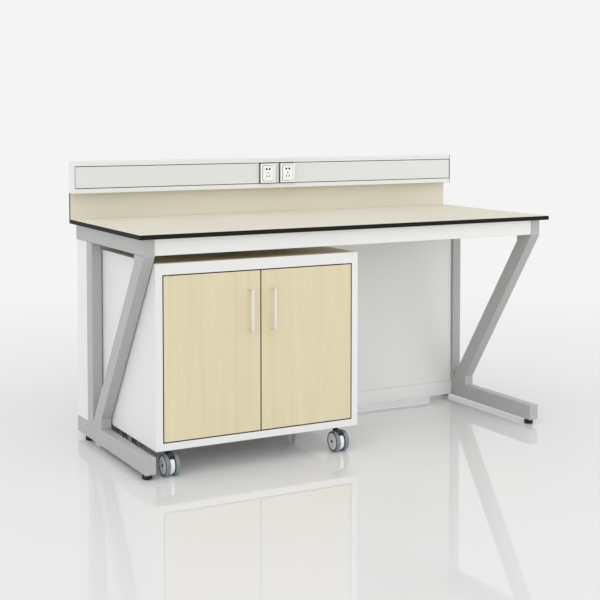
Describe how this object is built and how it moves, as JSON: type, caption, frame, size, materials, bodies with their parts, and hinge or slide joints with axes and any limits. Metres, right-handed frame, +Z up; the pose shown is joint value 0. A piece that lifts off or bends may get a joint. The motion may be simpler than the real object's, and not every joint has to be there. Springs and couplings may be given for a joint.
{
  "type": "laboratory workbench",
  "caption": "Laboratory workbench with slanted steel leg frames, a laminate worktop with backsplash and power trunking, and a mobile door cabinet on twin-wheel casters.",
  "frame": {"origin": "on the floor, under the middle of the worktop", "axes": "+X to the right along the bench, +Y from front to back, +Z up"},
  "size_m": [1.75, 0.75, 1.076],
  "materials": {
    "laminate": "cream compact laminate, matt, black core at the edges",
    "frame_grey": "grey powder coat, satin",
    "sheet_white": "off-white powder coat, satin",
    "steel_zinc": "bright zinc plate",
    "trunking_white": "white extruded plastic, satin",
    "socket_white": "white moulded plastic, glossy",
    "socket_inner": "grey moulded plastic",
    "contact_brass": "bare brass",
    "foot_black": "black moulded foot on a steel stud",
    "board_white": "white faced board, satin",
    "catch_black": "black moulded magnet housing",
    "door_maple": "pale maple faced board, satin",
    "handle_silver": "satin silver",
    "caster_dark": "dark grey paint",
    "caster_hood": "white moulded plastic",
    "caster_wheel": "grey tread with pale caps"
  },
  "bodies": {
    "bench": {"worktop": "laminate", "worktop_brackets": "steel_zinc", "worktop_screws": "steel_zinc", "backsplash": "laminate", "left_top_rail": "frame_grey", "right_top_rail": "frame_grey", "left_foot_rail": "frame_grey", "right_foot_rail": "frame_grey", "left_upright": "frame_grey", "right_upright": "frame_grey", "left_brace": "frame_grey", "right_brace": "frame_grey", "rail_end_plates": "frame_grey", "foot_nuts": "steel_zinc", "front_apron": "sheet_white", "rear_top_beam": "sheet_white", "lower_rear_beam": "sheet_white", "back_panel": "sheet_white", "left_end_cover": "sheet_white", "right_end_cover": "sheet_white", "trunking_body": "trunking_white", "trunking_end_caps": "trunking_white", "left_trunking_cover": "trunking_white", "middle_trunking_cover": "trunking_white", "right_trunking_cover": "trunking_white", "left_socket_plate": "socket_white", "right_socket_plate": "socket_white", "socket_inserts": "socket_white", "socket_boxes": "socket_inner", "socket_contacts": "contact_brass"},
    "cabinet": {"cabinet_left_side": "board_white", "cabinet_right_side": "board_white", "cabinet_top": "board_white", "cabinet_top_rail": "board_white", "cabinet_bottom": "board_white", "cabinet_back": "board_white", "cabinet_shelf": "board_white", "shelf_pins": "steel_zinc", "hinge_pins": "steel_zinc", "door_catches": "catch_black"},
    "left_door": {"left_door": "door_maple", "left_handle": "handle_silver"},
    "right_door": {"right_door": "door_maple", "right_handle": "handle_silver"},
    "front_left_foot": {"front_left_foot": "foot_black"},
    "rear_left_foot": {"rear_left_foot": "foot_black"},
    "front_right_foot": {"front_right_foot": "foot_black"},
    "rear_right_foot": {"rear_right_foot": "foot_black"},
    "front_left_swivel": {"front_left_caster_stem": "caster_dark", "front_left_caster_hood": "caster_hood"},
    "front_left_wheels": {"front_left_caster_wheels": "caster_wheel"},
    "front_right_swivel": {"front_right_caster_stem": "caster_dark", "front_right_caster_hood": "caster_hood"},
    "front_right_wheels": {"front_right_caster_wheels": "caster_wheel"},
    "rear_left_swivel": {"rear_left_caster_stem": "caster_dark", "rear_left_caster_hood": "caster_hood"},
    "rear_left_wheels": {"rear_left_caster_wheels": "caster_wheel"},
    "rear_right_swivel": {"rear_right_caster_stem": "caster_dark", "rear_right_caster_hood": "caster_hood"},
    "rear_right_wheels": {"rear_right_caster_wheels": "caster_wheel"}
  },
  "joints": [
    {"name": "cabinet_roll_out", "type": "slide", "parent": "bench", "child": "cabinet", "axis": [0, -1, 0], "range_m": [0, 0.7]},
    {"name": "left_door_hinge", "type": "hinge", "parent": "cabinet", "child": "left_door", "pos_m": [-0.757, -0.332, 0.414], "axis": [0, 0, -1], "range_deg": [0, 110]},
    {"name": "right_door_hinge", "type": "hinge", "parent": "cabinet", "child": "right_door", "pos_m": [-0.049, -0.332, 0.414], "axis": [0, 0, 1], "range_deg": [0, 110]},
    {"name": "front_left_foot_level", "type": "slide", "parent": "bench", "child": "front_left_foot", "axis": [0, 0, 1], "range_m": [-0.015, 0]},
    {"name": "rear_left_foot_level", "type": "slide", "parent": "bench", "child": "rear_left_foot", "axis": [0, 0, 1], "range_m": [-0.015, 0]},
    {"name": "front_right_foot_level", "type": "slide", "parent": "bench", "child": "front_right_foot", "axis": [0, 0, 1], "range_m": [-0.015, 0]},
    {"name": "rear_right_foot_level", "type": "slide", "parent": "bench", "child": "rear_right_foot", "axis": [0, 0, 1], "range_m": [-0.015, 0]},
    {"name": "front_left_caster_swivel", "type": "hinge", "parent": "cabinet", "child": "front_left_swivel", "pos_m": [-0.746, -0.2965, 0.1], "axis": [0, 0, 1], "continuous": true},
    {"name": "front_left_caster_roll", "type": "hinge", "parent": "front_left_swivel", "child": "front_left_wheels", "pos_m": [-0.746, -0.314, 0.0385], "axis": [1, 0, 0], "continuous": true},
    {"name": "front_right_caster_swivel", "type": "hinge", "parent": "cabinet", "child": "front_right_swivel", "pos_m": [-0.067, -0.2965, 0.1], "axis": [0, 0, 1], "continuous": true},
    {"name": "front_right_caster_roll", "type": "hinge", "parent": "front_right_swivel", "child": "front_right_wheels", "pos_m": [-0.067, -0.314, 0.0385], "axis": [1, 0, 0], "continuous": true},
    {"name": "rear_left_caster_swivel", "type": "hinge", "parent": "cabinet", "child": "rear_left_swivel", "pos_m": [-0.746, 0.1215, 0.1], "axis": [0, 0, 1], "continuous": true},
    {"name": "rear_left_caster_roll", "type": "hinge", "parent": "rear_left_swivel", "child": "rear_left_wheels", "pos_m": [-0.746, 0.104, 0.0385], "axis": [1, 0, 0], "continuous": true},
    {"name": "rear_right_caster_swivel", "type": "hinge", "parent": "cabinet", "child": "rear_right_swivel", "pos_m": [-0.067, 0.1215, 0.1], "axis": [0, 0, 1], "continuous": true},
    {"name": "rear_right_caster_roll", "type": "hinge", "parent": "rear_right_swivel", "child": "rear_right_wheels", "pos_m": [-0.067, 0.104, 0.0385], "axis": [1, 0, 0], "continuous": true}
  ]
}
